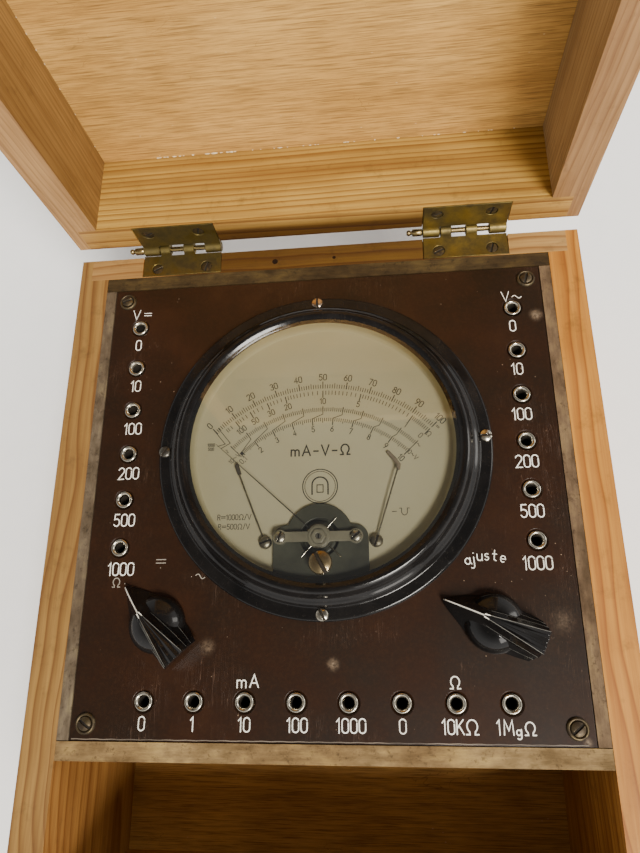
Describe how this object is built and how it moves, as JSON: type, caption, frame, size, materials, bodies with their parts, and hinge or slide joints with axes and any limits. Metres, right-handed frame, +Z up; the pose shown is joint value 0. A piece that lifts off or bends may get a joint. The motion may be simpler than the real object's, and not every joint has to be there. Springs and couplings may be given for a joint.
{
  "type": "analog multimeter",
  "caption": "Analog multimeter in a hinged pine case: round panel meter, rows of plug sockets and two pointer knobs on a dark panel, with a lead compartment in front.",
  "frame": {"origin": "middle of the case's underside, on the surface it stands on", "axes": "+Z up, +Y to the hinged back of the case, +X to the right as the dial is read"},
  "size_m": [0.2388, 0.3356, 0.384],
  "materials": {
    "pine": "satin, old varnish",
    "pine_lid": "satin, old varnish",
    "plywood": "matte",
    "old_wood": "matte, stained",
    "paxolin": "semi-gloss, scratched",
    "black_bakelite": "glossy",
    "nickel": "worn nickel plate",
    "old_brass": "dark patina",
    "grey_metal": "grey-green lacquer",
    "dial": "matte cream paint",
    "glass": "clear",
    "needle": "black lacquer",
    "phenolic": "moulded phenolic"
  },
  "bodies": {
    "instrument": {"adjust_rheostat": "phenolic", "case_back_board": "pine", "case_bottom": "plywood", "case_front_board": "pine", "case_side_left": "pine", "case_side_right": "pine", "dial_plate": "dial", "divider_board": "old_wood", "hinge_case_leaf_left": "old_brass", "hinge_case_leaf_right": "old_brass", "meter_case": "black_bakelite", "meter_glass": "glass", "movement_bridge": "grey_metal", "movement_magnet": "grey_metal", "panel": "paxolin", "panel_screw_back_left": "old_brass", "panel_screw_back_right": "old_brass", "panel_screw_front_left": "old_brass", "panel_screw_front_right": "old_brass", "pointer_stop_left": "needle", "pointer_stop_right": "needle", "rail_back": "old_wood", "rail_left": "old_wood", "rail_right": "old_wood", "selector_switch": "phenolic", "socket_left_1": "nickel", "socket_left_2": "nickel", "socket_left_3": "nickel", "socket_left_4": "nickel", "socket_left_5": "nickel", "socket_left_6": "nickel", "socket_right_1": "nickel", "socket_right_2": "nickel", "socket_right_3": "nickel", "socket_right_4": "nickel", "socket_right_5": "nickel", "socket_right_6": "nickel", "socket_row_1": "nickel", "socket_row_2": "nickel", "socket_row_3": "nickel", "socket_row_4": "nickel", "socket_row_5": "nickel", "socket_row_6": "nickel", "socket_row_7": "nickel", "socket_row_8": "nickel"},
    "lid": {"lid_side_left": "pine_lid", "lid_side_right": "pine_lid", "lid_front_board": "pine_lid", "lid_back_board": "pine_lid", "lid_top_panel": "plywood", "hinge_lid_leaf_left": "old_brass", "hinge_lid_leaf_right": "old_brass"},
    "hinge_pin_left": {"hinge_pin_left": "old_brass"},
    "hinge_pin_right": {"hinge_pin_right": "old_brass"},
    "selector": {"selector_knob": "black_bakelite", "selector_shaft": "nickel"},
    "adjuster": {"adjust_knob": "black_bakelite", "adjust_shaft": "nickel"},
    "pointer": {"pointer": "needle"},
    "zero_adjuster": {"zero_adjust_screw": "old_brass"}
  },
  "joints": [
    {"name": "lid_hinge", "type": "hinge", "parent": "instrument", "child": "lid", "pos_m": [0, 0.148, 0.092], "axis": [1, 0, 0], "range_deg": [0, 90]},
    {"name": "hinge_pin_left_slide", "type": "slide", "parent": "instrument", "child": "hinge_pin_left", "axis": [-1, 0, 0], "range_m": [0, 0.045]},
    {"name": "hinge_pin_right_slide", "type": "slide", "parent": "instrument", "child": "hinge_pin_right", "axis": [-1, 0, 0], "range_m": [0, 0.045]},
    {"name": "selector_turn", "type": "hinge", "parent": "instrument", "child": "selector", "pos_m": [-0.0669, -0.0299, 0.0916], "axis": [0, 0, -1], "range_deg": [0, 79]},
    {"name": "adjust_turn", "type": "hinge", "parent": "instrument", "child": "adjuster", "pos_m": [0.0669, -0.0299, 0.0916], "axis": [0, 0, -1], "range_deg": [-73, 197]},
    {"name": "pointer_swing", "type": "hinge", "parent": "instrument", "child": "pointer", "pos_m": [-0.0004, 0.0038, 0.0956], "axis": [0, 0, -1], "range_deg": [0, 93.4], "stiffness_Nm_per_rad": 0.00005},
    {"name": "zero_adjust_turn", "type": "hinge", "parent": "instrument", "child": "zero_adjuster", "pos_m": [0.0006, -0.007, 0.1016], "axis": [0, 0, -1], "continuous": true}
  ]
}
